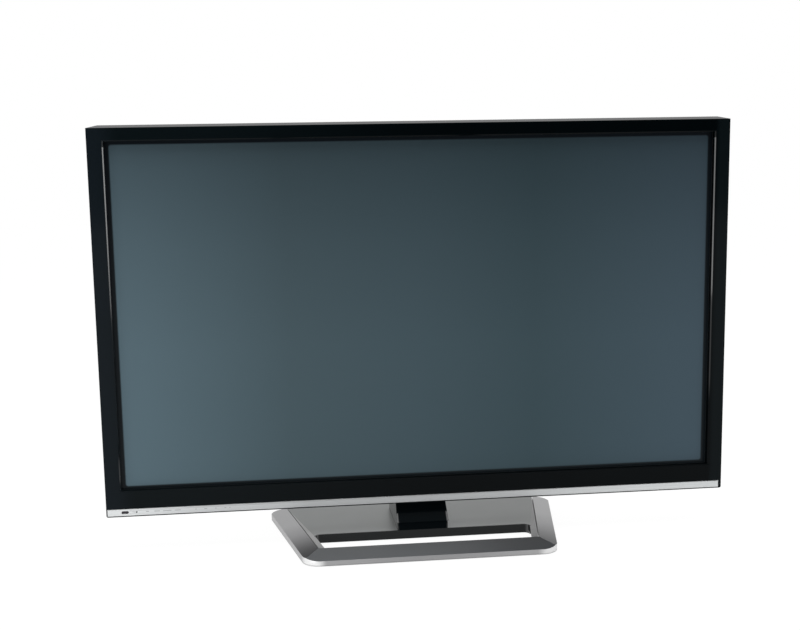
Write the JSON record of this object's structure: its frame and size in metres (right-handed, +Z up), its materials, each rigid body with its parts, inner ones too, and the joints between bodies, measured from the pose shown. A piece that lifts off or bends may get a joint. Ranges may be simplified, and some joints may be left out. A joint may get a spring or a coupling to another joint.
{
  "type": "plasma television on a swivel stand",
  "caption": "Wide flat plasma television with a gloss black bezel and a silver lower trim, on a low mitred stand with an open slot and a swivel neck.",
  "frame": {"origin": "on the table under the middle of the stand's footprint", "axes": "+X to the right of someone who looks at the screen, +Y away from them, +Z up; the screen faces -Y"},
  "size_m": [1.1682, 0.2986, 0.7781],
  "materials": {
    "bezel_black": "high gloss moulded black",
    "trim_silver": "brushed silver",
    "sensor_dark": "dark tinted window",
    "clear_lens": "small clear lens",
    "screen": "tinted filter glass",
    "panel_glass": "panel glass",
    "foam": "black gasket foam",
    "pressed_aluminium": "mill finish",
    "zinc_steel": "zinc plated",
    "green_board": "circuit board laminate",
    "amber_film": "flexible film",
    "grey_sheet": "heat spreading sheet",
    "black_plastic": "fine texture moulded black",
    "cover_black": "textured black powder coat",
    "socket_metal": "plated shells",
    "frame_silver": "satin silver-grey metallic paint",
    "deck_grey": "mid-grey metallic paint",
    "stand_black": "gloss black",
    "foot_rubber": "moulded rubber",
    "bearing_white": "low friction plastic"
  },
  "bodies": {
    "stand": {"base_frame": "frame_silver", "base_body": "stand_black", "base_deck": "deck_grey", "base_weights": "zinc_steel", "base_screws": "zinc_steel", "rubber_feet": "foot_rubber", "neck_collar": "stand_black", "swivel_seat": "zinc_steel", "swivel_washer": "bearing_white", "retaining_ring": "zinc_steel", "seat_screws": "zinc_steel"},
    "head": {"front_bezel": "bezel_black", "trim_strip": "trim_silver", "sensor_window": "sensor_dark", "light_sensor_lens": "clear_lens", "touch_key_board": "green_board", "glass_gasket": "foam", "filter_glass": "screen", "panel_front_glass": "panel_glass", "panel_rear_glass": "panel_glass", "heat_spreading_sheet": "grey_sheet", "panel_chassis": "pressed_aluminium", "filter_clips": "zinc_steel", "support_rails": "zinc_steel", "wall_mount_bosses": "zinc_steel", "stand_bracket": "zinc_steel", "board_standoffs": "zinc_steel", "power_supply_board": "green_board", "main_board": "green_board", "logic_board": "green_board", "y_sustain_board": "green_board", "z_sustain_board": "green_board", "y_buffer_boards": "green_board", "heat_sinks": "pressed_aluminium", "address_boards": "green_board", "panel_ribbons": "amber_film", "left_speaker": "black_plastic", "right_speaker": "black_plastic", "back_cover": "cover_black", "cover_screws": "zinc_steel", "jack_tray": "black_plastic", "digital_sockets": "socket_metal", "round_sockets": "socket_metal", "mains_inlet": "black_plastic", "neck_post": "zinc_steel", "neck_screws": "zinc_steel", "neck_shroud": "stand_black"}
  },
  "joints": [
    {"name": "swivel", "type": "hinge", "parent": "stand", "child": "head", "pos_m": [0, 0.048, 0.02305], "axis": [0, 0, 1], "range_deg": [-20, 20]}
  ]
}
